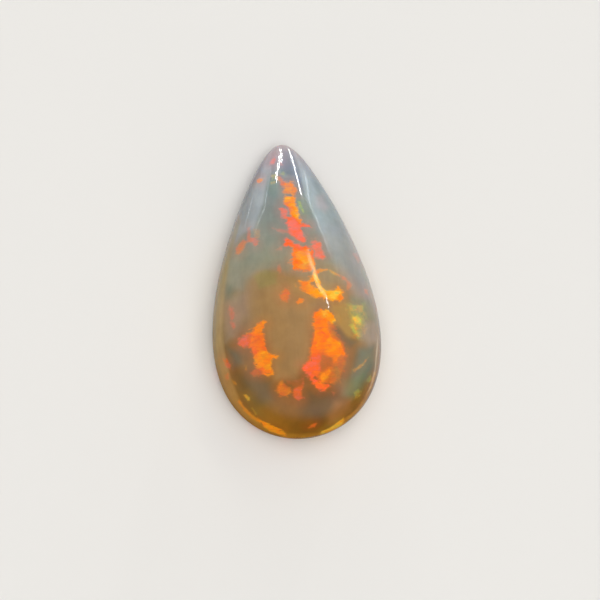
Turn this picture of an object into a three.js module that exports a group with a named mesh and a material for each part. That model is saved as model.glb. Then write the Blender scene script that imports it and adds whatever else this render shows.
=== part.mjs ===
// A pear-shaped cabochon of Ethiopian opal: one polished stone with a high smooth dome, a low
// upright girdle and a flat back, lying on its back. Millimetres, +Z up out of the dome, +Y towards
// the tip, origin at the middle of the back.
import * as THREE from "three";

// Driving dimensions
const LENGTH = 16.0; // tip to round end
const TIP_RADIUS = 0.65; // of the outline at the tip, seen from above
const END_RADIUS = 4.55; // of the outline at the round end
const HEIGHT = 5.6; // back to the top of the dome
const GIRDLE_TOP = 0.9; // height at which the upright girdle turns into the dome
const EDGE_RADIUS = 0.4; // rounding where the back meets the girdle

// Facets
const AROUND = 112; // steps round the outline
const DOME_RINGS = 22; // steps from the girdle to the top
const EDGE_STEPS = 4; // steps in the rounding under the girdle
const BACK_RINGS = 3; // steps across the back

const lerp = THREE.MathUtils.lerp;

// An end of radius r on a shape of this length spreads as the square root of the way from the end.
const spreadOf = (radius) => Math.sqrt(2 * radius * LENGTH);
const TIP_SPREAD = spreadOf(TIP_RADIUS);
const END_SPREAD = spreadOf(END_RADIUS);

// share runs from 0 at the tip to 1 at the round end.
const halfWidth = (share) =>
  Math.sqrt(share * (1 - share)) * lerp(TIP_SPREAD, END_SPREAD, share);

// The ridge rises almost straight from the tip and comes down round, like the outline, at the other
// end. It is highest at two thirds of the way.
const ridgeShape = (share) => share * Math.sqrt(1 - share);
const ridgeHeight = (share) =>
  ((HEIGHT - GIRDLE_TOP) * ridgeShape(share)) / ridgeShape(2 / 3);

// The outline seen from above, turning once round from the tip as angle goes from 0 to a full turn.
function outlineAt(angle) {
  const share = (1 - Math.cos(angle)) / 2;
  const side = Math.sin(angle) < 0 ? -1 : 1;
  return new THREE.Vector2(side * halfWidth(share), LENGTH * (0.5 - share));
}

const outline = Array.from({ length: AROUND }, (_, i) =>
  outlineAt((2 * Math.PI * i) / AROUND),
);

// The outline moved inwards by a distance, for the rounding under the girdle.
function insetOutline(distance) {
  return outline.map((point, i) => {
    const before = outline[(i + AROUND - 1) % AROUND];
    const after = outline[(i + 1) % AROUND];
    const along = after.clone().sub(before).normalize();
    return new THREE.Vector2(along.y, -along.x)
      .multiplyScalar(distance)
      .add(point);
  });
}

const scaledOutline = (points, scale) =>
  points.map((point) => point.clone().multiplyScalar(scale));

// Each cross-section of the dome is half an ellipse, as wide as the outline and as high as the ridge.
function domeHeight(point) {
  const share = 0.5 - point.y / LENGTH;
  const across = point.x / halfWidth(share);
  return (
    GIRDLE_TOP + ridgeHeight(share) * Math.sqrt(Math.max(0, 1 - across * across))
  );
}

const atHeight = (points, z) =>
  points.map((point) => new THREE.Vector3(point.x, point.y, z));

// Rings of points from the middle of the back, out, up the girdle and over the dome.
function stoneRings() {
  const rings = [];
  const backEdge = insetOutline(EDGE_RADIUS);
  for (let i = 1; i < BACK_RINGS; i++)
    rings.push(atHeight(scaledOutline(backEdge, i / BACK_RINGS), 0));
  for (let i = 0; i <= EDGE_STEPS; i++) {
    const turn = (Math.PI / 2) * (i / EDGE_STEPS);
    const inset = EDGE_RADIUS * (1 - Math.sin(turn));
    rings.push(atHeight(insetOutline(inset), EDGE_RADIUS * (1 - Math.cos(turn))));
  }
  rings.push(atHeight(outline, GIRDLE_TOP));
  for (let i = 1; i < DOME_RINGS; i++) {
    const scale = Math.cos((Math.PI / 2) * (i / DOME_RINGS));
    const ring = scaledOutline(outline, scale);
    rings.push(ring.map((p) => new THREE.Vector3(p.x, p.y, domeHeight(p))));
  }
  return rings;
}

// One closed surface: a fan in the middle of the back, bands between rings, and a fan at the top.
function stoneGeometry() {
  const rings = stoneRings();
  const backMiddle = new THREE.Vector3(0, 0, 0);
  const domeMiddle = new THREE.Vector3(0, 0, domeHeight(new THREE.Vector2(0, 0)));
  const points = [backMiddle, ...rings.flat(), domeMiddle];
  const at = (ring, i) => 1 + ring * AROUND + (i % AROUND);
  const last = points.length - 1;
  const faces = [];
  for (let i = 0; i < AROUND; i++) {
    faces.push(0, at(0, i), at(0, i + 1));
    for (let ring = 0; ring + 1 < rings.length; ring++) {
      const [a, b] = [at(ring, i), at(ring, i + 1)];
      const [c, d] = [at(ring + 1, i + 1), at(ring + 1, i)];
      faces.push(a, d, b, b, d, c);
    }
    faces.push(at(rings.length - 1, i + 1), at(rings.length - 1, i), last);
  }
  const geometry = new THREE.BufferGeometry().setFromPoints(points);
  geometry.setIndex(faces);
  geometry.computeVertexNormals();
  return geometry;
}

function makeCabochon() {
  const opal = new THREE.MeshStandardMaterial({
    color: 0xa8906c,
    roughness: 0.08,
    metalness: 0,
  });
  const cabochon = new THREE.Mesh(stoneGeometry(), opal);
  cabochon.name = "opal_cabochon";
  return cabochon;
}

const stone = new THREE.Group();
stone.add(makeCabochon());
export default stone;
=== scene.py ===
"""A pear-shaped cabochon of Ethiopian opal lying on its flat back, seen from above its dome.

Metres, +Z up out of the dome, +Y towards the tip. Places on the stone are given in millimetres.
"""

import math

import bpy
import numpy as np
from mathutils import Matrix, Vector


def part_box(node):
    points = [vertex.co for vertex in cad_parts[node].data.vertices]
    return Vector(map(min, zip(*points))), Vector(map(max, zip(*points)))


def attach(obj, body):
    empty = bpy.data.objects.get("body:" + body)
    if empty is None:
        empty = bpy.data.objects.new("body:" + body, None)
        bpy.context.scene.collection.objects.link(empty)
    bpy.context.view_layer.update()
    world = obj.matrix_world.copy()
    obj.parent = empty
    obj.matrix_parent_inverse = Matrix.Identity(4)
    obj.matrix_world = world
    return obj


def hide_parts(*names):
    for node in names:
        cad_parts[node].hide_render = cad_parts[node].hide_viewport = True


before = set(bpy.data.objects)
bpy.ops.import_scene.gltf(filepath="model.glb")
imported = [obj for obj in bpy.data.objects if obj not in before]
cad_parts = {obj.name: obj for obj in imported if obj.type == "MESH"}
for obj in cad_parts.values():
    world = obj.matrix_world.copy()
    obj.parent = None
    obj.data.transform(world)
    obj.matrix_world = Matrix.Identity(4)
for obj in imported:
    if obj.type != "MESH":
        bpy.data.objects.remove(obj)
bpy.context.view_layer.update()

MM = 0.001

# The stone's form, as in the solid that it stands for
STONE_LOW, STONE_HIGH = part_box("opal_cabochon")
LENGTH = (STONE_HIGH.y - STONE_LOW.y) / MM
HEIGHT = 5.6  # back to the top of the dome
TIP_RADIUS = 0.65  # of the outline at the tip, seen from above
END_RADIUS = 4.55  # of the outline at the round end
GIRDLE_TOP = 0.9  # height at which the upright girdle turns into the dome
EDGE_RADIUS = 0.4  # rounding where the back meets the girdle

TINY = 1e-9  # keeps a division or a root away from zero

# How finely the surface is divided
AROUND = 480
DOME_RINGS = 140
GIRDLE_RINGS = 6
EDGE_RINGS = 6
BACK_RINGS = 30


def half_width(share):
    """Half the outline's width in mm. share runs from 0 at the tip to 1 at the round end."""
    tip_spread = math.sqrt(2 * TIP_RADIUS * LENGTH)
    end_spread = math.sqrt(2 * END_RADIUS * LENGTH)
    return np.sqrt(share * (1 - share)) * (tip_spread + (end_spread - tip_spread) * share)


def ridge_shape(share):
    """Almost straight up from the tip, round at the other end, highest at two thirds of the way."""
    return share * np.sqrt(1 - share)


def dome_height(x, y):
    """Height in mm of the dome over a point inside the outline."""
    share = np.clip(0.5 - y / LENGTH, TINY, 1 - TINY)
    across = np.clip(x / half_width(share), -1, 1)
    ridge = (HEIGHT - GIRDLE_TOP) * ridge_shape(share) / ridge_shape(2 / 3)
    return GIRDLE_TOP + ridge * np.sqrt(1 - across * across)


def stone_rings():
    """Rings of points in mm, from the middle of the back out, up the girdle and over the dome."""
    angle = 2 * np.pi * np.arange(AROUND) / AROUND
    share = (1 - np.cos(angle)) / 2
    outline = np.stack([np.sign(np.sin(angle)) * half_width(share), LENGTH * (0.5 - share)], 1)
    along = np.roll(outline, -1, 0) - np.roll(outline, 1, 0)
    along /= np.linalg.norm(along, axis=1)[:, None]
    inward = np.stack([along[:, 1], -along[:, 0]], 1)

    def ring(flat, height):
        return np.column_stack([flat, np.broadcast_to(height, AROUND)])

    rings = []
    back_edge = outline + inward * EDGE_RADIUS
    rings += [ring(back_edge * i / BACK_RINGS, 0) for i in range(1, BACK_RINGS)]
    for turn in np.linspace(0, np.pi / 2, EDGE_RINGS + 1):
        inset = outline + inward * EDGE_RADIUS * (1 - np.sin(turn))
        rings.append(ring(inset, EDGE_RADIUS * (1 - np.cos(turn))))
    rings += [ring(outline, h) for h in np.linspace(EDGE_RADIUS, GIRDLE_TOP, GIRDLE_RINGS + 1)[1:]]
    for turn in np.linspace(0, np.pi / 2, DOME_RINGS + 1)[1:-1]:
        flat = outline * np.cos(turn)
        rings.append(ring(flat, dome_height(flat[:, 0], flat[:, 1])))
    return rings


def make_stone():
    """The stone's mesh, and its points in mm with the direction that each faces."""
    rings = stone_rings()
    top = dome_height(np.zeros(1), np.zeros(1))[0]
    points = np.concatenate([[[0, 0, 0]], *rings, [[0, 0, top]]])
    last = len(points) - 1
    faces = []
    for i in range(AROUND):
        after = (i + 1) % AROUND
        faces.append((0, 1 + i, 1 + after))
        for r in range(len(rings) - 1):
            low, high = 1 + r * AROUND, 1 + (r + 1) * AROUND
            faces.append((low + i, high + i, high + after, low + after))
        outer = 1 + (len(rings) - 1) * AROUND
        faces.append((outer + after, outer + i, last))
    mesh = bpy.data.meshes.new("opal")
    mesh.from_pydata((points * MM).tolist(), [], faces)
    mesh.shade_smooth()
    stone = bpy.data.objects.new("opal", mesh)
    bpy.context.scene.collection.objects.link(stone)
    facing = np.zeros(len(points) * 3, np.float32)
    mesh.vertex_normals.foreach_get("vector", facing)
    return stone, points, facing.reshape(-1, 3).astype(float)


# The camera looks down on the dome, leaning a little to the left and to the round end.
LEAN_LEFT = math.radians(12)
LEAN_LOW = math.radians(8)
ROLL = math.radians(4.46)
CAMERA_AWAY = 180 * MM
PIXELS_PER_MM = 18.45
FRAME_PIXELS = 600
SENSOR = 36.0  # width in mm
ORIGIN_PIXEL = (289.8, 293.0)  # where the middle of the stone's back falls in the photo's frame


def camera_axes():
    """The directions that are right, up and towards the camera in its picture."""
    across = Vector((math.cos(LEAN_LEFT), 0, math.sin(LEAN_LEFT)))
    back = Vector((
        -math.sin(LEAN_LEFT) * math.cos(LEAN_LOW),
        -math.sin(LEAN_LOW),
        math.cos(LEAN_LEFT) * math.cos(LEAN_LOW),
    ))
    up = back.cross(across)
    right = across * math.cos(ROLL) - up * math.sin(ROLL)
    return right, back.cross(right), back


def make_camera():
    right, up, back = camera_axes()
    middle = FRAME_PIXELS / 2
    aim = right * (middle - ORIGIN_PIXEL[0]) - up * (middle - ORIGIN_PIXEL[1])
    place = aim * MM / PIXELS_PER_MM + back * CAMERA_AWAY
    data = bpy.data.cameras.new("camera")
    data.sensor_width = SENSOR
    data.lens = PIXELS_PER_MM / MM * CAMERA_AWAY * SENSOR / FRAME_PIXELS
    data.clip_start = 0.01
    data.clip_end = 5
    camera = bpy.data.objects.new("camera", data)
    turned = Matrix((right, up, back)).transposed().to_4x4()
    camera.matrix_world = Matrix.Translation(place) @ turned
    bpy.context.scene.collection.objects.link(camera)
    bpy.context.scene.camera = camera


make_camera()
stone, points, facing = make_stone()

# Each point of the stone in mm as the camera sees it: to the right, up, and towards the camera
seen = points @ np.array([list(axis) for axis in camera_axes()]).T
faces_camera = facing @ np.array(camera_axes()[2])

# The colours of the flashes, from the red end of their hue, 0, to the green end, 1
HUES = (
    (0.00, (0.94, 0.165, 0.115)),
    (0.20, (0.96, 0.130, 0.020)),
    (0.42, (0.98, 0.225, 0.008)),
    (0.60, (0.97, 0.340, 0.008)),
    (0.74, (0.95, 0.520, 0.045)),
    (0.86, (0.52, 0.560, 0.070)),
    (1.00, (0.20, 0.380, 0.140)),
)

# The flashes of colour that show from above, and painted glints at the end: hue, strength, and
# outline as the camera sees it, in mm to the right and up from the middle of the back. Where two
# overlap, the later one shows.
FLASHES_AND_GLINTS = (
    # the ribbon down from the tip
    (0.30, 0.70, ((-0.64, 6.26), (-0.51, 6.23), (-0.30, 6.03), (-0.08, 5.99), (0.10, 5.80),
                  (-0.20, 5.50), (-0.39, 5.62), (-0.55, 5.90), (-0.69, 6.08))),
    (0.46, 0.85, ((-0.15, 5.97), (0.19, 5.94), (0.28, 5.76), (0.35, 5.49), (0.26, 5.26),
                  (0.10, 5.17), (0.01, 5.31), (-0.17, 5.40), (-0.33, 5.42), (-0.30, 5.75))),
    (0.50, 1.0, ((-0.18, 5.14), (0.05, 5.18), (0.28, 5.05), (0.36, 4.75), (0.45, 4.45),
                 (0.52, 4.10), (0.64, 3.85), (0.50, 3.70), (0.22, 3.80), (0.02, 4.15),
                 (-0.22, 4.62), (-0.32, 4.90))),
    (0.62, 1.0, ((0.12, 4.48), (0.34, 4.50), (0.46, 4.20), (0.42, 3.98), (0.20, 4.10))),
    (0.02, 0.8, ((-0.51, 4.54), (-0.17, 4.59), (-0.03, 4.41), (-0.08, 4.22), (-0.21, 4.00),
                 (-0.39, 4.09), (-0.51, 4.36))),
    (0.08, 1.0, ((-0.30, 3.95), (-0.08, 4.00), (0.19, 4.00), (0.37, 3.77), (0.51, 3.62),
                 (1.13, 3.60), (1.13, 3.53), (0.65, 3.42), (0.76, 3.14), (0.89, 2.96), (0.86, 2.72),
                 (0.76, 2.58), (0.60, 2.68), (0.40, 2.84), (0.16, 3.02), (-0.12, 3.12),
                 (-0.30, 3.22), (-0.05, 3.36), (-0.05, 3.55), (-0.15, 3.75))),
    (0.12, 0.45, ((-0.92, 3.44), (-0.50, 3.40), (-0.10, 3.30), (-0.12, 3.12), (-0.60, 3.26))),
    # the block under it
    (0.12, 1.0, ((-0.35, 2.54), (-0.29, 2.81), (-0.14, 2.93), (0.10, 2.75), (0.40, 2.57),
                 (0.86, 2.48), (0.98, 2.30), (1.13, 2.06), (0.64, 2.06), (0.10, 2.12), (0.07, 2.45),
                 (-0.26, 2.45))),
    (0.32, 1.0, ((0.07, 2.40), (0.83, 2.40), (1.28, 2.24), (1.34, 1.70), (1.28, 1.34), (1.07, 1.16),
                 (0.22, 1.19), (0.13, 1.64), (-0.08, 1.61), (-0.05, 1.76), (0.10, 1.88))),
    (0.58, 1.0, ((0.34, 2.08), (0.64, 2.18), (1.00, 2.00), (1.34, 1.70), (1.25, 1.46), (0.83, 1.52),
                 (0.73, 1.70), (0.40, 1.82))),
    (0.52, 0.9, ((0.44, 1.40), (1.00, 1.48), (1.18, 1.30), (0.70, 1.26))),
    (0.04, 0.82, ((1.07, 2.75), (1.34, 2.87), (1.61, 2.72), (1.70, 2.36), (1.79, 2.06),
                  (1.91, 1.94), (1.67, 1.79), (1.28, 1.88), (1.34, 2.12), (1.19, 2.42),
                  (1.28, 2.54), (1.10, 2.60))),
    # the yellow tongue and its loop
    (0.46, 0.85, ((0.55, 0.67), (0.95, 0.73), (1.31, 0.98), (1.37, 0.80), (1.19, 0.49),
                  (1.49, 0.25), (1.67, 0.07), (1.85, -0.17), (1.13, -0.05), (0.70, 0.07),
                  (0.52, 0.25), (0.64, 0.40), (0.52, 0.55))),
    (0.52, 1.0, ((1.10, 0.10), (1.60, 0.12), (2.03, 0.13), (2.33, 0.22), (2.57, 0.31), (2.93, 0.07),
                 (2.87, -0.23), (2.63, -0.47), (2.27, -0.47), (1.97, -0.35), (1.49, -0.29),
                 (1.10, -0.17))),
    (0.66, 1.0, ((1.30, 1.40), (1.49, 1.04), (1.55, 0.67), (1.75, 0.31), (2.10, 0.02), (2.60, 0.00),
                 (2.50, -0.30), (1.95, -0.22), (1.62, 0.02), (1.36, 0.42), (1.26, 0.90))),
    (0.50, 0.75, ((1.31, 1.18), (1.61, 1.28), (2.00, 1.28), (2.12, 1.20), (1.97, 1.16),
                  (1.61, 1.10), (1.48, 0.95))),
    (0.62, 0.65, ((2.09, 1.26), (2.36, 1.12), (2.69, 0.94), (2.66, 0.85), (2.30, 1.00),
                  (2.09, 1.14))),
    (0.25, 0.5, ((2.69, 0.98), (2.93, 0.80), (3.17, 0.61), (3.29, 0.43), (3.20, 0.25), (2.93, 0.10),
                 (3.05, 0.30), (3.00, 0.55), (2.78, 0.76))),
    # small ones left of it
    (0.20, 0.7, ((-0.23, 0.28), (0.01, 0.19), (0.07, -0.17), (-0.14, -0.44), (-0.38, -0.41),
                 (-0.53, -0.11), (-0.38, 0.07))),
    (0.46, 0.8, ((0.37, -0.47), (0.52, -0.29), (0.83, -0.35), (0.70, -0.53), (0.52, -0.59))),
    (0.60, 0.4, ((0.25, 0.50), (0.36, 0.42), (0.40, 0.27), (0.30, 0.30))),
    (0.10, 0.45, ((-0.62, 1.46), (-0.50, 1.50), (-0.41, 1.04), (-0.54, 1.01), (-0.66, 1.25))),
    (0.06, 0.45, ((-0.74, 2.28), (-0.41, 2.48), (-0.38, 2.24))),
    # the big patch on the right
    (0.30, 0.55, ((1.50, -1.00), (2.10, -1.20), (2.35, -1.80), (2.60, -2.30), (2.95, -2.80),
                  (3.00, -3.60), (2.80, -4.30), (2.40, -4.70), (1.60, -4.80), (1.20, -4.20),
                  (1.00, -3.40), (1.20, -2.20))),
    (0.34, 1.0, ((1.28, -1.31), (1.37, -1.01), (1.61, -0.86), (1.91, -0.89), (2.09, -1.19),
                 (1.97, -1.49), (2.00, -1.86), (2.09, -2.10), (2.18, -2.40), (1.97, -2.64),
                 (1.79, -2.94), (1.73, -3.30), (1.19, -3.18), (1.13, -3.00), (1.25, -2.64),
                 (1.34, -2.34), (1.34, -2.04), (1.22, -1.80))),
    (0.60, 1.0, ((1.66, -0.92), (2.03, -0.93), (2.33, -1.22), (2.48, -1.46), (2.24, -1.58),
                 (2.03, -1.40), (1.80, -1.20))),
    (0.46, 1.0, ((2.12, -2.36), (2.39, -2.46), (2.63, -2.64), (2.75, -2.88), (2.87, -3.12),
                 (2.90, -3.24), (2.69, -3.24), (2.51, -3.42), (2.45, -3.60), (2.27, -3.66),
                 (2.21, -3.42), (1.80, -3.24), (1.85, -2.90), (2.00, -2.60))),
    (0.16, 1.0, ((0.58, -3.78), (0.83, -3.72), (1.07, -3.54), (1.25, -3.20), (1.73, -3.14),
                 (1.79, -3.48), (1.61, -3.78), (1.67, -4.02), (1.49, -4.26), (1.31, -4.50),
                 (1.13, -4.57), (0.95, -4.44), (0.70, -4.26), (0.76, -4.02))),
    (0.26, 0.5, ((1.75, -3.30), (2.20, -3.45), (2.25, -3.75), (2.05, -4.00), (1.72, -4.10),
                 (1.65, -3.75))),
    (0.22, 1.0, ((1.19, -4.50), (1.43, -4.57), (1.73, -4.75), (2.09, -4.75), (2.18, -4.93),
                 (1.91, -5.11), (1.61, -5.14), (1.37, -4.99), (1.19, -4.75))),
    (0.50, 0.95, ((2.09, -4.02), (2.15, -4.20), (1.97, -4.38), (1.85, -4.50), (1.73, -4.63),
                  (1.64, -4.50), (1.70, -4.26), (1.91, -4.14))),
    (0.50, 0.4, ((2.45, -3.90), (2.58, -4.05), (2.62, -4.45), (2.72, -4.75), (2.58, -4.70),
                 (2.46, -4.30))),
    # the patch on the left
    (0.48, 1.0, ((-1.37, -1.52), (-1.25, -1.55), (-1.34, -1.86), (-1.40, -2.22), (-1.55, -2.55),
                 (-2.20, -2.50), (-2.25, -2.15), (-1.76, -1.73))),
    (0.13, 0.85, ((-2.05, -2.20), (-2.43, -2.28), (-2.73, -2.40), (-2.79, -2.76), (-2.61, -2.88),
                  (-2.19, -2.88), (-1.85, -2.95), (-1.80, -2.40))),
    (0.30, 1.0, ((-1.40, -2.22), (-1.28, -2.58), (-1.19, -2.88), (-1.04, -3.15), (-1.20, -3.50),
                 (-1.70, -3.55), (-1.95, -3.18), (-2.10, -2.80), (-1.95, -2.30))),
    (0.50, 1.0, ((-1.18, -3.05), (-0.90, -3.20), (-0.62, -3.34), (-0.88, -3.58), (-0.90, -3.85),
                 (-0.80, -4.28), (-1.20, -4.33), (-1.90, -4.32), (-1.75, -4.05), (-1.82, -3.70),
                 (-1.90, -3.40), (-1.60, -3.20))),
    (0.18, 0.6, ((-1.50, -4.15), (-1.50, -4.36), (-2.01, -4.33), (-2.13, -4.20), (-1.75, -4.00))),
    (0.58, 0.5, ((-2.34, -3.84), (-2.24, -3.84), (-2.26, -4.10), (-2.34, -4.08))),
    # the pair between them, lower down
    (0.40, 0.72, ((-0.71, -4.99), (-0.56, -4.69), (-0.32, -4.51), (-0.20, -4.81), (0.04, -4.99),
                  (0.07, -5.23), (-0.08, -5.53), (-0.38, -5.47), (-0.62, -5.29), (-0.74, -5.11))),
    (0.14, 0.75, ((0.22, -5.05), (0.52, -4.87), (0.64, -4.50), (0.76, -4.50), (0.76, -4.87),
                  (0.64, -5.23), (0.70, -5.59), (0.52, -5.71), (0.28, -5.59), (0.19, -5.35))),
    (0.20, 0.3, ((-0.30, -4.50), (0.20, -4.62), (0.70, -4.55), (0.55, -4.85), (-0.10, -4.85))),
    (0.30, 0.75, ((0.95, -7.15), (1.19, -6.97), (1.43, -6.91), (1.34, -7.12), (1.01, -7.21))),
    # small ones near the tip
    (0.00, 0.7, ((-0.79, 7.41), (-0.77, 7.16), (-0.85, 6.98), (-1.09, 6.93), (-1.03, 7.14))),
    (0.00, 0.35, ((-0.58, 7.08), (-0.42, 7.10), (-0.37, 6.92), (-0.50, 6.86))),
    (0.42, 0.85, ((-1.82, 6.12), (-1.66, 6.19), (-1.41, 6.17), (-1.41, 6.03), (-1.57, 5.92),
                  (-1.77, 5.96))),
    (0.80, 0.5, ((-0.98, 6.35), (-0.73, 6.39), (-0.69, 6.12), (-0.84, 6.03), (-0.98, 6.08))),
    (0.93, 0.5, ((-1.07, 6.03), (-0.71, 6.05), (-0.71, 5.85), (-1.03, 5.83))),
    (0.92, 0.45, ((-0.66, 6.55), (-0.44, 6.60), (-0.26, 6.44), (-0.30, 6.33), (-0.51, 6.41))),
    (0.86, 0.75, ((0.42, 4.92), (0.56, 4.90), (0.66, 4.66), (0.80, 4.28), (0.72, 4.24),
                  (0.56, 4.48))),
    # small ones down the left side
    (0.20, 0.5, ((-2.25, 3.50), (-2.09, 3.51), (-2.07, 3.00), (-2.25, 2.90))),
    (0.60, 0.3, ((-2.00, 3.50), (-1.60, 3.30), (-1.62, 2.95), (-1.85, 2.90))),
    (0.14, 0.62, ((-2.28, 2.72), (-2.19, 3.02), (-1.95, 2.96), (-1.64, 2.75), (-1.67, 2.54),
                  (-1.82, 2.48), (-2.01, 2.69))),
    (0.36, 0.68, ((-2.49, 2.84), (-2.34, 2.69), (-2.49, 2.30), (-2.70, 2.06), (-2.88, 2.09),
                  (-2.91, 2.39), (-2.73, 2.60))),
    (0.00, 0.6, ((-3.22, -0.70), (-3.00, -0.80), (-2.85, -1.31), (-2.97, -1.43), (-3.18, -1.37),
                 (-3.28, -1.05))),
    (0.00, 0.55, ((-3.15, -1.55), (-2.88, -1.55), (-2.82, -1.85), (-2.97, -2.00), (-3.09, -1.80))),
    (0.14, 0.7, ((-3.55, -3.45), (-3.39, -3.50), (-3.21, -3.60), (-3.06, -3.84), (-3.15, -4.02),
                 (-3.39, -3.93))),
    (0.14, 0.5, ((-3.45, -4.38), (-3.27, -4.26), (-3.18, -4.51), (-3.30, -4.69), (-3.45, -4.63))),
    (0.54, 0.5, ((-3.06, -4.63), (-2.85, -4.75), (-2.79, -4.87), (-2.97, -4.87))),
    (0.70, 0.75, ((-2.43, -5.41), (-2.25, -5.38), (-2.07, -5.53), (-2.10, -5.71), (-2.25, -5.71),
                  (-2.31, -5.53))),
    (0.76, 0.4, ((-2.02, -6.10), (-1.92, -6.12), (-1.72, -6.44), (-1.80, -6.48))),
    # small ones down the right side, in a faint glow of their own
    (0.82, 0.34, ((3.05, -0.60), (3.95, -0.60), (4.05, -1.50), (3.85, -2.50), (3.35, -2.30),
                  (3.15, -1.40))),
    (0.02, 0.35, ((3.38, 2.10), (3.65, 2.20), (3.84, 1.70), (3.65, 1.60))),
    (0.30, 0.45, ((3.98, 0.19), (4.14, 0.16), (4.17, -0.08), (4.00, -0.05))),
    (0.78, 0.5, ((3.17, -0.77), (3.50, -0.65), (3.90, -0.72), (3.84, -0.90), (3.30, -0.92))),
    (0.80, 0.9, ((3.36, -1.31), (3.54, -1.25), (3.78, -1.43), (3.72, -1.64), (3.51, -1.61))),
    (0.76, 0.7, ((3.24, -1.80), (3.42, -1.67), (3.54, -1.98), (3.66, -2.34), (3.48, -2.16),
                 (3.30, -1.95))),
    (0.62, 0.6, ((3.35, -4.08), (3.66, -3.84), (3.84, -3.72), (4.20, -3.40), (3.96, -3.78),
                 (3.78, -3.96), (3.48, -4.16))),
    (0.05, 0.45, ((2.21, -5.20), (2.41, -5.26), (2.33, -5.43))),
    (0.94, 0.45, ((4.14, -4.51), (4.32, -4.38), (4.38, -4.63), (4.20, -4.81), (4.08, -4.69))),
    (0.88, 0.4, ((3.41, -5.29), (3.66, -5.11), (3.78, -5.23), (3.72, -5.47), (3.48, -5.65),
                 (3.35, -5.47))),
    # painted glints of light caught along the inside of the round end, and a painted golden glow
    # under them
    (0.56, 0.40, ((-0.60, -7.66), (0.50, -7.70), (1.50, -7.56), (2.20, -7.32), (2.90, -6.88),
                  (3.15, -6.86), (2.60, -7.40), (1.60, -7.80), (0.50, -7.96), (-0.60, -7.86))),
    (0.50, 0.70, ((-2.66, -5.70), (-2.30, -6.14), (-1.95, -6.46), (-1.50, -6.80), (-1.55, -6.97),
                  (-2.07, -6.66), (-2.44, -6.30), (-2.76, -5.78))),
    (0.54, 1.0, ((-1.55, -6.80), (-1.10, -6.96), (-0.75, -7.13), (-0.28, -7.40), (-0.18, -7.64),
                 (-0.60, -7.58), (-0.98, -7.42), (-1.36, -7.16))),
    (0.70, 1.0, ((1.65, -7.35), (2.13, -7.18), (2.52, -6.95), (2.88, -6.68), (3.00, -6.82),
                 (2.68, -7.14), (2.24, -7.40), (1.72, -7.56))),
    (0.58, 0.40, ((2.95, -6.76), (3.50, -6.24), (3.98, -5.58), (4.32, -4.90), (4.52, -4.20),
                  (4.59, -4.24), (4.42, -4.95), (4.08, -5.66), (3.58, -6.34), (3.02, -6.86))),
)
REACH = 1.2  # how far from an outline, in mm, its colour can still be felt
BLEND = 0.08  # over how many mm one flash's hue gives way to the next one's
PULL_END = -1.5  # mm inside a flash's edge, below which its pull on the hue falls no further
FAR_OUTSIDE = -9.0  # mm inside a flash's edge, where there is no flash
EVEN_HUE = 0.4  # the hue there

# A flash keeps to the part of the surface that its middle is on. These are the mm that it may lie
# nearer to the camera than that, or further away, at no size and more for each mm of its size.
DEPTH_SPARE = 0.5
DEPTH_PER_SIZE = 1.2

SHOWN_FACING = 0.10  # a flash that shows ends where the surface faces the camera less than this
SHOWN_SLOPE = 2.5  # mm inside its edge that a place may lie, for each 1 that it faces it more

# The girdle and the back have flashes too, which the photo doesn't show.
HIDDEN_FLASHES = 130
HIDDEN_SEED = 7
HIDDEN_FACING = 0.2  # their middles face the camera less than this
HIDDEN_EDGE_FACING = 0.12  # and they end where the surface faces it more than this
HIDDEN_EDGE_SLOPE = 2  # mm inside the edge that a place may lie, for each 1 that it faces it less
HIDDEN_SPREAD = 0.3  # how much the surface that one spreads over faces as its middle does
HIDDEN_TIP = 6.5  # mm towards the tip, beyond which there are none
HIDDEN_CORNERS = 8
HIDDEN_SIZES = (0.12, 0.5)  # mm from the middle to the furthest corner, before the lengthening
HIDDEN_LENGTHENED = 1.6
HIDDEN_CORNER_SHARES = (0.45, 1.0)  # of the size
HIDDEN_HUES = (0.05, 0.15, 0.3, 0.4, 0.5, 0.62, 0.8, 0.95)
HIDDEN_STRENGTHS = (0.35, 0.95)


def depth_inside(at, outline):
    """How far in mm each place lies inside a closed outline, below zero outside it."""
    corners = np.array(outline)
    nearest = np.full(len(at), np.inf)
    within = np.zeros(len(at), bool)
    for start, end in zip(corners, np.roll(corners, -1, 0)):
        side = end - start
        way = at - start
        share = np.clip(way @ side / (side @ side), 0, 1)
        nearest = np.minimum(nearest, np.linalg.norm(way - share[:, None] * side, axis=1))
        spans = (start[1] > at[:, 1]) != (end[1] > at[:, 1])
        level = start[0] + (at[:, 1] - start[1]) * side[0] / (side[1] or TINY)
        within ^= spans & (at[:, 0] < level)
    return np.where(within, nearest, -nearest)


def place_outline(outline):
    """The points near an outline that the camera sees, and how far inside it they lie."""
    low, high = np.min(outline, 0), np.max(outline, 0)
    flat = seen[:, :2]
    framed = np.all((flat > low - REACH) & (flat < high + REACH), 1)
    near = np.where(framed & (faces_camera > 0))[0]
    own = depth_inside(flat[near], outline)
    centre = near[np.argmin(((flat[near] - (low + high) / 2) ** 2).sum(1))]
    away = np.abs(seen[near, 2] - seen[centre, 2])
    return near, np.minimum(own, DEPTH_SPARE + DEPTH_PER_SIZE * np.max(high - low) - away)


def shown_outlines():
    """The flashes and painted glints that show from above: their hue and strength, the points near,
    how far inside.
    """
    for hue, strength, outline in FLASHES_AND_GLINTS:
        near, own = place_outline(outline)
        own = np.minimum(own, SHOWN_SLOPE * (faces_camera[near] - SHOWN_FACING))
        yield hue, strength, near, own


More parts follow.
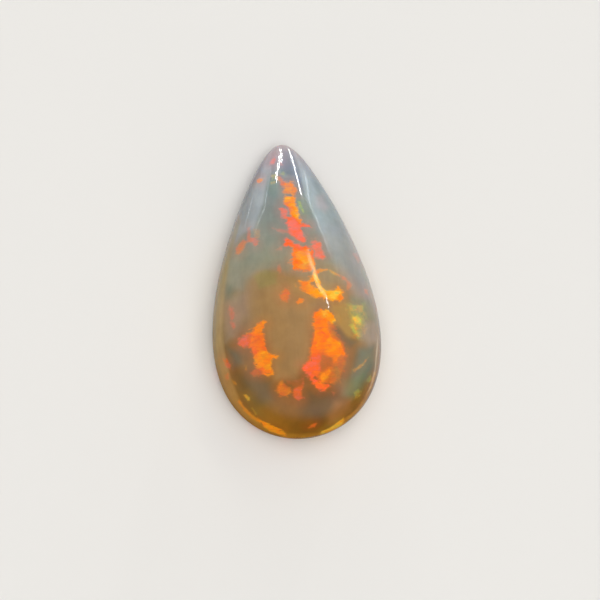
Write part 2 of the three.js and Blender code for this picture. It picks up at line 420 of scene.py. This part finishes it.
def hidden_outlines():
    """The same for seeded flashes where the camera hardly looks, flat on the surface there."""
    rng = np.random.default_rng(HIDDEN_SEED)
    candidates = np.where((faces_camera < HIDDEN_FACING) & (points[:, 1] < HIDDEN_TIP))[0]
    for middle in rng.choice(candidates, HIDDEN_FLASHES, replace=False):
        normal = facing[middle]
        first = np.cross(normal, rng.normal(size=3))
        first /= np.linalg.norm(first)
        axes = np.stack([first, np.cross(normal, first)], 1)
        size = rng.uniform(*HIDDEN_SIZES)
        turns = np.sort(rng.uniform(0, 2 * np.pi, HIDDEN_CORNERS))
        reach = size * rng.uniform(*HIDDEN_CORNER_SHARES, HIDDEN_CORNERS)
        outline = np.stack([HIDDEN_LENGTHENED * reach * np.cos(turns), reach * np.sin(turns)], 1)
        away = points - points[middle]
        close = np.linalg.norm(away, axis=1) < 2 * size + REACH
        near = np.where(close & (facing @ normal > HIDDEN_SPREAD))[0]
        allowed = HIDDEN_EDGE_SLOPE * (HIDDEN_EDGE_FACING - faces_camera[near])
        own = np.minimum(depth_inside(away[near] @ axes, outline), allowed)
        hue = rng.choice(HIDDEN_HUES)
        yield hue, rng.uniform(*HIDDEN_STRENGTHS), near, own


def flash_fields():
    """At each point: mm inside the nearest flash's or painted glint's edge, and its hue, strength
    and depth.
    """
    inside = np.full(len(points), FAR_OUTSIDE)
    hue = np.full(len(points), EVEN_HUE)
    strength = np.zeros(len(points))
    depth = np.zeros(len(points))
    weight = np.full(len(points), TINY)
    for own_hue, own_strength, near, own in [*hidden_outlines(), *shown_outlines()]:
        pull = np.exp(np.clip(own, PULL_END, 0) / BLEND)
        kept = weight[near] * (1 - pull)
        weight[near] = kept + pull
        for field, value in ((hue, own_hue), (strength, own_strength), (depth, own.max())):
            field[near] = (field[near] * kept + value * pull) / weight[near]
        inside[near] = np.maximum(inside[near], own)
    return inside, hue, strength, depth


# The colour down the stone's length, tip first: place along +Y in mm, colour of the dome, and
# colour of the skirt, which is the lowest part of the dome with the girdle and the back. The dome's
# colour is partly the stone's own and partly painted light: bluish where light scatters back at the
# tip, amber where light shines through at the round end. The skirt's paler colour is a painted glow
# of light caught inside the lower edge.
BODY_AND_GLOW = (
    (8.0, (0.34, 0.31, 0.34), (0.55, 0.46, 0.48)),
    (6.4, (0.22, 0.29, 0.36), (0.42, 0.41, 0.44)),
    (5.0, (0.25, 0.31, 0.31), (0.46, 0.43, 0.40)),
    (3.0, (0.31, 0.36, 0.31), (0.50, 0.42, 0.26)),
    (1.2, (0.35, 0.36, 0.25), (0.60, 0.43, 0.14)),
    (-0.8, (0.41, 0.28, 0.13), (0.72, 0.51, 0.24)),
    (-3.0, (0.36, 0.20, 0.070), (0.73, 0.49, 0.20)),
    (-5.5, (0.29, 0.14, 0.025), (0.71, 0.38, 0.10)),
    (-8.0, (0.22, 0.09, 0.004), (0.58, 0.25, 0.006)),
)
SKIRT_GLOW_TOP = 1.7  # height in mm at which half the colour is the skirt's painted glow and half the dome's
SKIRT_GLOW_FADE = 2.2  # mm below and above it over which one gives way to the other

# The painted band of light inside the edge, in the skirt's glow colour, from the left flank round
# the wide end, as the camera sees it: the back edge seen lit through the dome, painted as colour
PAINTED_BAND = ((-2.62, 3.90), (-2.95, 2.70), (-3.25, 1.50), (-3.45, 0.20), (-3.55, -1.00), (-3.57, -2.00),
        (-3.48, -3.00), (-3.30, -3.90), (-3.06, -4.68), (-2.84, -5.22), (-2.50, -5.95),
        (-1.95, -6.56), (-1.50, -6.90), (-1.05, -7.16), (-0.15, -7.48), (0.55, -7.52),
        (1.43, -7.45), (2.04, -7.30), (2.79, -6.86), (3.42, -6.38), (4.00, -5.75), (4.60, -5.00),
        (3.50, -8.50), (0.00, -9.00), (-3.50, -8.50), (-5.50, -5.00), (-5.50, 0.00), (-4.00, 4.50),
        (-3.00, 5.00))
PAINTED_BAND_SHARE = 0.9  # of the skirt's painted glow colour in it
PAINTED_BAND_FADE = 0.14  # mm on both sides of its edge over which it fades
SKIRT_GLOW_SHARE_SEEN = 0.5  # of the skirt's painted glow that is left outside the painted band

# Softer zones of colour inside the stone, and painted reflected haze on the flanks, as the camera
# sees them: colour, share, mm over which it fades on both sides of its edge, and outline
TINTS_AND_REFLECTED_HAZE = (
    # the dark heart of the tip, and the milky flanks on both sides of it, whose pale bluish haze is
    # partly the milky body and partly a painted reflection of soft light
    ((0.07, 0.17, 0.30), 0.8, 0.12, ((-0.46, 7.70), (0.15, 7.70), (0.48, 6.70), (0.75, 5.40),
                                     (0.20, 6.30), (-0.30, 6.40), (-0.60, 6.60), (-0.52, 7.10))),
    ((0.20, 0.33, 0.30), 0.6, 0.20, ((-1.10, 5.90), (-0.50, 5.80), (-0.40, 5.40), (-0.90, 5.10),
                                     (-1.20, 5.30))),
    ((0.46, 0.53, 0.58), 0.72, 0.15, ((-1.02, 6.80), (-1.40, 4.90), (-1.90, 3.40), (-2.50, 3.20),
                                      (-3.10, 2.40), (-2.70, 4.20), (-2.00, 5.70), (-1.35, 6.90))),
    ((0.30, 0.40, 0.44), 0.65, 0.35, ((0.30, 7.30), (0.90, 5.60), (1.10, 4.60), (1.60, 3.30),
                                      (3.60, 3.00), (2.40, 5.00), (1.40, 6.60))),
    ((0.34, 0.37, 0.40), 0.60, 0.50, ((1.50, 3.60), (2.00, 2.10), (2.90, 1.10), (3.60, -0.20),
                                      (4.60, -0.90), (4.30, 1.00), (3.50, 3.00), (3.00, 3.90))),
    ((0.50, 0.37, 0.38), 0.4, 0.20, ((1.40, 5.20), (1.80, 5.30), (2.10, 4.60), (1.90, 4.30),
                                     (1.40, 4.60))),
    # the tan heart of the stone, and the paler band left of it
    ((0.47, 0.28, 0.10), 0.85, 0.28, ((-2.35, 0.10), (-2.12, 0.72), (-1.70, 1.10), (-0.60, 1.18),
                                      (0.30, 0.90), (1.00, 0.60), (1.30, 0.00), (1.30, -1.50),
                                      (1.00, -3.50), (0.30, -4.50), (-0.80, -4.60), (-1.00, -3.20),
                                      (-1.30, -2.00), (-2.00, -1.50), (-2.40, -0.60))),
    ((0.38, 0.34, 0.11), 0.6, 0.14, ((-1.90, 0.90), (-1.30, 1.20), (-0.60, 1.10), (-0.70, 0.50),
                                     (-1.60, 0.20))),
    ((0.54, 0.43, 0.29), 0.7, 0.34, ((-3.45, 0.00), (-2.60, -0.20), (-2.60, -1.40), (-2.90, -2.30),
                                     (-3.40, -2.60), (-3.50, -1.20))),
    ((0.46, 0.47, 0.36), 0.7, 0.30, ((-2.95, 2.60), (-2.50, 2.40), (-2.60, 1.20), (-2.55, 0.20),
                                     (-3.40, 0.10), (-3.30, 1.20))),
    ((0.42, 0.28, 0.18), 0.5, 0.34, ((-2.60, -0.10), (-2.10, 0.20), (-2.20, -1.20),
                                     (-2.90, -1.30))),
    ((0.56, 0.34, 0.10), 0.8, 0.20, ((2.20, -0.60), (3.10, -0.50), (3.25, -1.30), (3.35, -2.30),
                                     (3.10, -2.35), (2.60, -1.80), (2.30, -1.20))),
    ((0.23, 0.27, 0.17), 0.6, 0.25, ((3.20, -0.20), (4.30, -0.40), (4.70, -1.60), (4.00, -1.50),
                                     (3.30, -1.00))),
    # olive and teal depths
    ((0.20, 0.17, 0.10), 0.7, 0.15, ((2.20, -1.80), (2.60, -1.80), (3.00, -2.30), (3.50, -2.60),
                                     (3.20, -2.90), (2.60, -2.60))),
    ((0.20, 0.14, 0.05), 0.7, 0.35, ((-3.00, -4.40), (-2.30, -4.40), (-1.00, -4.70), (-0.90, -5.60),
                                     (-1.60, -6.30), (-2.30, -5.90), (-2.80, -5.20))),
    ((0.17, 0.10, 0.03), 0.7, 0.35, ((0.90, -5.10), (1.90, -5.30), (2.60, -5.40), (2.50, -6.30),
                                     (1.60, -6.90), (0.90, -6.30))),
    ((0.18, 0.20, 0.14), 0.7, 0.25, ((-3.30, -2.90), (-2.70, -3.10), (-2.50, -3.70),
                                     (-3.00, -4.00))),
    ((0.12, 0.20, 0.14), 0.8, 0.30, ((3.70, -3.00), (4.50, -2.80), (4.50, -4.00), (4.10, -4.60),
                                     (3.50, -5.00), (3.20, -4.40))),
    ((0.20, 0.29, 0.20), 0.5, 0.28, ((-3.40, 0.50), (-3.00, 0.40), (-3.10, -0.30), (-3.40, -0.40))),
    ((0.20, 0.23, 0.09), 0.7, 0.25, ((2.70, -4.60), (3.20, -4.50), (3.90, -4.30), (3.90, -5.00),
                                     (3.30, -5.60), (2.80, -5.40))),
    ((0.30, 0.18, 0.03), 0.7, 0.35, ((-2.00, -5.90), (-1.20, -5.70), (-0.50, -6.10), (-0.60, -6.90),
                                     (-1.30, -6.80))),
    # warm glows
    ((0.38, 0.16, 0.012), 0.7, 0.35, ((-1.60, -6.20), (-0.60, -5.70), (0.40, -5.80), (0.60, -6.80),
                                      (-0.20, -7.20), (-1.00, -6.90))),
    ((0.50, 0.22, 0.06), 0.7, 0.30, ((2.40, -5.80), (3.30, -5.60), (3.20, -6.20), (2.50, -6.90),
                                     (2.10, -7.00), (2.00, -6.50))),
    ((0.36, 0.20, 0.10), 0.6, 0.30, ((2.60, -2.90), (3.30, -3.00), (3.20, -4.20), (2.90, -5.40),
                                     (2.30, -5.00), (2.30, -4.00))),
    ((0.40, 0.33, 0.25), 0.7, 0.30, ((3.90, -1.50), (4.60, -1.60), (4.70, -2.60), (4.20, -2.80),
                                     (3.70, -2.30))),
)


def smooth(x):
    """From 0 to 1 as x does, with a soft start and end."""
    x = np.clip(x, 0, 1)
    return x * x * (3 - 2 * x)


def edge_share(inside, fade):
    """1 inside an edge and 0 outside it, with a soft change over fade on both sides."""
    return smooth(0.5 + inside / (2 * fade))


def lay_over(colours, zones):
    """Lay each zone's share of its colour over the points' colours."""
    for colour, share, fade, outline in zones:
        near, own = place_outline(outline)
        amount = share * edge_share(own, fade)[:, None]
        colours[near] += (np.array(colour) - colours[near]) * amount


def colour_along(colours):
    """Each point's colour, by its place along the stone, from one colour for each row of BODY_AND_GLOW."""
    places = [row[0] for row in BODY_AND_GLOW[::-1]]
    channels = zip(*colours[::-1])
    return np.stack([np.interp(points[:, 1], places, channel) for channel in channels], 1)


def body_colour_with_painted_light():
    """Each point's colour without the flashes, with the painted glow of the lower edge and the
    painted haze on the flanks.
    """
    dome = colour_along([row[1] for row in BODY_AND_GLOW])
    skirt_glow = colour_along([row[2] for row in BODY_AND_GLOW])
    lay_over(dome, TINTS_AND_REFLECTED_HAZE)
    # the skirt's paler colour is a painted glow of light caught inside the lower edge
    low = edge_share(SKIRT_GLOW_TOP - points[:, 2], SKIRT_GLOW_FADE)
    near, own = place_outline(PAINTED_BAND)
    low[near] = np.maximum(low[near] * SKIRT_GLOW_SHARE_SEEN, PAINTED_BAND_SHARE * edge_share(own, PAINTED_BAND_FADE))
    return dome + (skirt_glow - dome) * low[:, None]


def add_field(mesh, name, values):
    """Keep one number or one colour for each point with the mesh, for its material to read."""
    if values.ndim == 1:
        attribute = mesh.attributes.new(name, "FLOAT", "POINT")
        attribute.data.foreach_set("value", values.astype(np.float32))
    else:
        attribute = mesh.attributes.new(name, "FLOAT_COLOR", "POINT")
        full = np.concatenate([values, np.ones((len(values), 1))], 1)
        attribute.data.foreach_set("color", full.astype(np.float32).ravel())


# the flash fields carry the painted glints at the round end too
for field_name, field in zip(("inside", "hue", "strength", "depth"), flash_fields()):
    add_field(stone.data, "flash_" + field_name, field)
add_field(stone.data, "body_colour_with_painted_light", body_colour_with_painted_light())


class Nodes:
    """Short calls for building the node tree of a material, a light or the world."""

    def __init__(self, owner):
        self.tree = owner.node_tree

    def new(self, kind, inputs=(), **settings):
        node = self.tree.nodes.new(kind)
        for name, value in settings.items():
            setattr(node, name, value)
        for name, value in dict(inputs).items():
            if isinstance(value, bpy.types.NodeSocket):
                self.tree.links.new(value, node.inputs[name])
            else:
                node.inputs[name].default_value = value
        return node

    def math(self, operation, a, b=0.0, c=0.0, clamp=False):
        inputs = {0: a, 1: b, 2: c}
        return self.new("ShaderNodeMath", inputs, operation=operation, use_clamp=clamp).outputs[0]

    def swing(self, value, reach):
        """A value from 0 to 1 as one from -reach to reach."""
        return self.math("MULTIPLY_ADD", value, 2 * reach, -reach)

    def span(self, value, low, high, to_low=0.0, to_high=1.0, kind="SMOOTHSTEP"):
        """A value between low and high as one between to_low and to_high, and no further."""
        inputs = {
            "Value": value,
            "From Min": low,
            "From Max": high,
            "To Min": to_low,
            "To Max": to_high,
        }
        return self.new("ShaderNodeMapRange", inputs, interpolation_type=kind).outputs[0]

    def field(self, name, output="Fac"):
        settings = {"attribute_name": name, "attribute_type": "GEOMETRY"}
        return self.new("ShaderNodeAttribute", **settings).outputs[output]

    def noise(self, place, scale, detail=3.0, rough=0.5, twist=0.0):
        inputs = {
            "Vector": place,
            "Scale": scale,
            "Detail": detail,
            "Roughness": rough,
            "Distortion": twist,
        }
        return self.new("ShaderNodeTexNoise", inputs).outputs["Fac"]

    def mix(self, share, a, b, blend="MIX"):
        """Two colours mixed, for each of which, and for the share, a socket may stand."""
        node = self.new("ShaderNodeMix", data_type="RGBA", blend_type=blend)
        for socket, value in zip((node.inputs[0], node.inputs[6], node.inputs[7]), (share, a, b)):
            if isinstance(value, bpy.types.NodeSocket):
                self.tree.links.new(value, socket)
            else:
                socket.default_value = value
        return node.outputs[2]

    def stretch(self, place, scale, turn=0.0):
        """A place scaled along each axis, and turned by so many degrees about +Z."""
        turned = (0, 0, math.radians(turn))
        inputs = {"Vector": place, "Scale": scale, "Rotation": turned}
        return self.new("ShaderNodeMapping", inputs).outputs[0]


# The small cells that a flash breaks up into, and what each does to its edge, hue and brightness
CELLS_PER_MM = 2.6
CELL_BEND = 0.12  # mm by which noise bends them
CELL_EDGE = 0.08  # mm by which one moves the flash's edge in or out
CELL_HUE = 0.07
CELL_LEAST = 0.82  # brightness of the darkest cell
CELL_SPREAD = 0.14

# What finer noise does to a flash
RAGGED_EDGE = 0.17  # mm by which it moves the edge in or out
STROKE_HUE = 0.10
STROKE_LEAST = -0.15  # what the darkest stroke adds to the brightness
STROKE_SPREAD = 0.4
DRIFT_HUE = 0.25

# A flash's edge is softer where the flash is weak, and moves less where the flash is narrow.
EDGE_SOFT = 0.24  # mm
EDGE_FIRM = 0.14  # mm less than that for a full strength
NARROW, WIDE = 0.02, 0.30  # mm from its edge to its middle
NARROW_MOVES = 0.15
NARROW_SOFTENS = 0.5

# A weak flash has gaps, and each flash a halo.
GAP_LOW, GAP_HIGH = 0.38, 0.62  # noise below which there is a gap, and above which there is none
GAP_LEAST = 0.5  # how much of the weakest flash is left in a gap
HALO_FROM, HALO_TO = -0.6, 0.05  # mm inside the edge
HALO_SHARE = 0.16

# The body's fine streaks and clouds, as a share of its brightness
STREAK_SHADE = 0.035
CLOUD_SHADE = 0.07
SHADE_LOW, SHADE_HIGH = 0.3, 0.7  # the noise that gives the darkest and the lightest of them

# The polished surface, and the milky body under it
SURFACE = {
    "Roughness": 0.22,
    "IOR": 1.45,
    "Coat Weight": 1.0,
    "Coat Roughness": 0.02,
    "Coat IOR": 1.45,
    "Specular IOR Level": 0.0,
    "Subsurface Weight": 0.35,
    "Subsurface Radius": (1.0, 0.7, 0.4),
    "Subsurface Scale": 1.2 * MM,
}
SEE_THROUGH = 0.3  # share of the light that the body lets through, between the flashes
ABSORPTION = {"Color": (1.0, 0.72, 0.42, 1), "Density": 160}
RIPPLE_HEIGHT = 0.003 * MM  # of the polish


def flash_cells(n, mm, streaked):
    """Three random numbers, each the same all over one cell."""
    warp = n.new("ShaderNodeTexNoise", {"Vector": mm, "Scale": 3.0, "Detail": 3.0}).outputs["Color"]
    bent = n.mix(CELL_BEND, streaked, warp, "ADD")
    cells = n.new("ShaderNodeTexVoronoi", {"Vector": bent, "Scale": CELLS_PER_MM}).outputs["Color"]
    return n.new("ShaderNodeSeparateColor", {"Color": cells}).outputs


def flash_cover(n, streaked, cell, strokes):
    """How much of the flash itself shows at a place, and how much of it with its halo."""
    inside, strength = n.field("flash_inside"), n.field("flash_strength")
    ragged = n.noise(streaked, 3.2, detail=4.0, rough=0.6, twist=0.4)
    wander = n.math("ADD", n.swing(cell["Red"], CELL_EDGE), n.swing(ragged, RAGGED_EDGE))
    room = n.span(n.field("flash_depth"), NARROW, WIDE, NARROW_MOVES, 1.0, "LINEAR")
    edge = n.math("MULTIPLY_ADD", wander, room, inside)
    softness = n.math("MULTIPLY_ADD", strength, -EDGE_FIRM, EDGE_SOFT)
    softness = n.math("MULTIPLY", softness, n.math("MAXIMUM", room, NARROW_SOFTENS))
    mask = n.span(n.math("DIVIDE", edge, softness), -1, 1)
    lively = n.math("MULTIPLY_ADD", cell["Green"], CELL_SPREAD, CELL_LEAST)
    lively = n.math("ADD", lively, n.math("MULTIPLY_ADD", strokes, STROKE_SPREAD, STROKE_LEAST))
    gaps = n.noise(streaked, 4.0, detail=3.0, rough=0.6, twist=1.2)
    least = n.math("MULTIPLY_ADD", strength, 1 - GAP_LEAST, GAP_LEAST)
    lively = n.math("MULTIPLY", lively, n.span(gaps, GAP_LOW, GAP_HIGH, least, 1.0))
    lively = n.math("MULTIPLY", strength, lively, clamp=True)
    mask = n.math("MULTIPLY", mask, lively, clamp=True)
    halo = n.math("MULTIPLY", n.span(inside, HALO_FROM, HALO_TO, 0, HALO_SHARE), strength)
    return mask, n.math("MAXIMUM", mask, halo)


def flash_colour(n, mm, cell, strokes):
    """A flash's colour. Its hue wanders inside it from cell to cell and along its strokes."""
    drift = n.noise(n.stretch(mm, (1.2, 1.6, 1.2)), 2.0, detail=4.0, rough=0.6, twist=0.4)
    hue = n.math("ADD", n.field("flash_hue"), n.swing(drift, DRIFT_HUE))
    hue = n.math("ADD", hue, n.swing(cell["Blue"], CELL_HUE))
    hue = n.math("ADD", hue, n.swing(strokes, STROKE_HUE), clamp=True)
    ramp = n.new("ShaderNodeValToRGB", {"Fac": hue})
    elements = ramp.color_ramp.elements
    for element, (position, colour) in zip(elements, (HUES[0], HUES[-1])):
        element.position = position
        element.color = (*colour, 1)
    for position, colour in HUES[1:-1]:
        elements.new(position).color = (*colour, 1)
    return ramp.outputs["Color"]


def shaded_body(n, mm):
    """The body's colour, faintly streaked along its length and clouded."""
    streaks = n.noise(n.stretch(mm, (3.0, 0.4, 1.5)), 1.0, detail=3.0, rough=0.55, twist=0.6)
    cloud = n.noise(mm, 1.1, detail=3.0, rough=0.55)
    streaks = n.span(streaks, SHADE_LOW, SHADE_HIGH, 1 - STREAK_SHADE, 1 + STREAK_SHADE)
    cloud = n.span(cloud, SHADE_LOW, SHADE_HIGH, -CLOUD_SHADE, CLOUD_SHADE)
    inputs = {0: n.field("body_colour_with_painted_light", "Vector"), "Scale": n.math("ADD", streaks, cloud)}
    return n.new("ShaderNodeVectorMath", inputs, operation="SCALE").outputs[0]


def make_opal():
    paint = bpy.data.materials.new("opal")
    paint.use_nodes = True
    n = Nodes(paint)
    shader = paint.node_tree.nodes["Principled BSDF"]
    output = paint.node_tree.nodes["Material Output"]
    link = paint.node_tree.links.new
    mm = n.stretch(n.new("ShaderNodeTexCoord").outputs["Object"], (1 / MM, 1 / MM, 1 / MM))
    streaked = n.stretch(mm, (1.0, 1.7, 1.0), turn=12)
    cell = flash_cells(n, mm, streaked)
    strokes = n.stretch(mm, (1.0, 4.0, 1.0), turn=20)
    strokes = n.noise(strokes, 1.8, detail=3.0, rough=0.55, twist=0.4)
    mask, with_halo = flash_cover(n, streaked, cell, strokes)
    colour = n.mix(with_halo, shaded_body(n, mm), flash_colour(n, mm, cell, strokes))
    link(colour, shader.inputs["Base Color"])
    link(n.span(mask, 0, 1, SEE_THROUGH, 0.0, "LINEAR"), shader.inputs["Transmission Weight"])
    ripple = n.new("ShaderNodeBump", {"Height": n.noise(mm, 4.0, 2.0), "Distance": RIPPLE_HEIGHT})
    link(ripple.outputs[0], shader.inputs["Coat Normal"])
    for name, value in SURFACE.items():
        shader.inputs[name].default_value = value
    depth = n.new("ShaderNodeVolumeAbsorption", ABSORPTION)
    link(depth.outputs["Volume"], output.inputs["Volume"])
    return paint


stone.data.materials.append(make_opal())
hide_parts("opal_cabochon")
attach(stone, "root")


FLOOR_GAP = 0.02  # mm under the stone, so that light finds its way between them
FLOOR_SIZE = 1600  # mm
FLOOR_COLOUR = (0.74, 0.73, 0.71, 1)


def make_floor():
    """A plain floor without gloss, which isn't mirrored in the stone."""
    mesh = bpy.data.meshes.new("floor")
    half, low = FLOOR_SIZE / 2 * MM, -FLOOR_GAP * MM
    corners = [(-half, -half, low), (half, -half, low), (half, half, low), (-half, half, low)]
    mesh.from_pydata(corners, [], [(0, 1, 2, 3)])
    floor = bpy.data.objects.new("floor", mesh)
    bpy.context.scene.collection.objects.link(floor)
    paint = bpy.data.materials.new("floor")
    paint.use_nodes = True
    shader = paint.node_tree.nodes["Principled BSDF"]
    shader.inputs["Base Color"].default_value = FLOOR_COLOUR
    shader.inputs["Roughness"].default_value = 1.0
    shader.inputs["Specular IOR Level"].default_value = 0.0
    mesh.materials.append(paint)
    floor.visible_glossy = False


LIGHT_AWAY = 1200 * MM


def towards(azimuth, elevation):
    """The direction of an azimuth, 0 over +X and 90 over +Y, and an elevation, in degrees."""
    a, e = math.radians(azimuth), math.radians(elevation)
    return Vector((math.cos(a) * math.cos(e), math.sin(a) * math.cos(e), math.sin(e)))


def make_panel(name, start, end, across, radiance, colour=(1, 1, 1), soft=(0, 0, 0, 0)):
    """A panel of light facing the stone, between two directions and so many degrees across.

    soft has the share of its length over which it fades at its start, the same for its end, and the
    share of its width over which it fades at its lower side, and the same for its upper side.
    """
    first, last = towards(*start) * LIGHT_AWAY, towards(*end) * LIGHT_AWAY
    middle = (first + last) / 2
    facing_out = middle.normalized()
    lengthways = (last - first).normalized()
    sideways = facing_out.cross(lengthways)
    data = bpy.data.lights.new(name, "AREA")
    data.shape = "RECTANGLE"
    data.size = (last - first).length
    data.size_y = 2 * middle.length * math.tan(math.radians(across) / 2)
    data.energy = radiance * math.pi * data.size * data.size_y
    data.color = colour
    if any(soft):
        data.use_nodes = True
        n = Nodes(data)
        place = n.new("ShaderNodeNewGeometry").outputs["Parametric"]
        along, over, _ = n.new("ShaderNodeSeparateXYZ", {0: place}).outputs
        sides = [over, n.math("SUBTRACT", 1, over)]
        if sideways.z < 0:
            sides.reverse()
        fade = 1.0
        for from_edge, share in zip((along, n.math("SUBTRACT", 1, along), *sides), soft):
            if share:
                fade = n.math("MULTIPLY", fade, n.span(from_edge, 0, share))
        n.tree.links.new(fade, n.tree.nodes["Emission"].inputs["Strength"])
    light = bpy.data.objects.new(name, data)
    axes = Matrix((lengthways, sideways, facing_out)).transposed().to_4x4()
    light.matrix_world = Matrix.Translation(middle) @ axes
    light.visible_camera = False
    bpy.context.scene.collection.objects.link(light)
    return light


COOL = (0.86, 0.94, 1.0)
WARM = (1.0, 0.93, 0.8)
CREAM = (1.0, 0.85, 0.62)


def make_lights():
    # Broad and soft, and not mirrored in the stone
    make_panel("overhead", (-90, 60), (90, 60), 60, 2.2).visible_glossy = False
    make_panel("front", (-90, 12), (-90, 40), 60, 1.5, WARM).visible_glossy = False
    # The pale haze on the right flank, the line along its edge, and the line inside the right rim
    make_panel("right_window", (58, -7), (20, 4), 42, 2.4, COOL, soft=(0.05, 0.9, 0.95, 0.1))
    make_panel("right_edge", (50.5, -10), (57.5, 9.5), 2.2, 5.0, COOL, soft=(0.4, 0, 0.5, 0.5))
    make_panel("right_edge_end", (57.2, 9.6), (39, 17), 2.2, 4.5, COOL, soft=(0, 0.5, 0.5, 0.5))
    make_panel("right_rim", (10, -46.5), (0, -39.5), 5, 1.5, CREAM, soft=(0.7, 0, 0.5, 0.5))
    make_panel("right_rim_end", (0, -39.5), (-20, -50), 5, 1.6, CREAM, soft=(0, 0.3, 0.5, 0.5))
    # The same on the left flank
    make_panel("left_window", (104, -10), (142, -16), 30, 0.9, COOL, soft=(0.1, 0.5, 0.3, 0.1))
    make_panel("left_edge", (104, 4.0), (124, 4.4), 2.0, 4.5, COOL, soft=(0.05, 0, 0.4, 0.6))
    make_panel("left_edge_end", (124, 4.2), (136, -5), 2.0, 4.0, COOL, soft=(0, 0.5, 0.4, 0.6))
    make_panel("left_line", (131, -26.5), (140, -28.5), 2.5, 4.0, COOL, soft=(0.3, 0.3, 0.5, 0.5))
    # The two bright streaks at the tip, and the crooked one in the middle
    make_panel("right_streak", (66, 0), (66.5, 13.5), 0.9, 90)
    make_panel("left_streak", (86.7, 8.5), (103.2, 11.4), 0.6, 90)
    make_panel("left_streak_tip", (82.0, 6.6), (86.8, 8.6), 0.6, 90)
    make_panel("middle_streak", (72, 35), (56, 47), 9.0, 8, CREAM, soft=(0.3, 0, 0.5, 0.5))
    make_panel("middle_streak_low", (56, 48), (38, 45.5), 6.0, 8, CREAM, soft=(0, 0.1, 0.5, 0.5))
    make_panel("middle_streak_end", (38, 45.5), (31, 49.5), 0.8, 40)


# The light of the room itself. Heights are those of a direction one long.
ROOM_COLOUR = (0.97, 0.98, 1.0, 1)
HORIZON_LIGHT = 0.8
OVERHEAD_LIGHT = 0.25
OVERHEAD_HEIGHT = 0.5  # above which it gets no darker
BELOW_BRIGHT = 0.6  # below the horizon, ahead
BELOW_DARK = 0.03  # below the horizon, behind
BELOW_TO_RIGHT = 0.45  # how much the bright part turns to the right
BELOW_FROM, BELOW_TO = -0.15, 0.55  # where it starts, and where it is at its brightest
HORIZON_FROM, HORIZON_TO = -0.45, 0.02  # heights between which below gives way to above


def make_room():
    world = bpy.data.worlds.new("studio")
    world.use_nodes = True
    n = Nodes(world)
    direction = n.new("ShaderNodeTexCoord").outputs["Generated"]
    right, ahead, up = n.new("ShaderNodeSeparateXYZ", {0: direction}).outputs
    above = n.span(up, 0.0, OVERHEAD_HEIGHT, HORIZON_LIGHT, OVERHEAD_LIGHT)
    bright = n.math("MULTIPLY_ADD", right, BELOW_TO_RIGHT, ahead)
    below = n.span(bright, BELOW_FROM, BELOW_TO, BELOW_DARK, BELOW_BRIGHT)
    share_above = n.span(up, HORIZON_FROM, HORIZON_TO)
    strength = n.math("MULTIPLY_ADD", n.math("SUBTRACT", above, below), share_above, below)
    background = n.tree.nodes["Background"]
    background.inputs["Color"].default_value = ROOM_COLOUR
    n.tree.links.new(strength, background.inputs["Strength"])
    bpy.context.scene.world = world


make_floor()
make_lights()
make_room()
bpy.context.scene.view_settings.view_transform = "Standard"
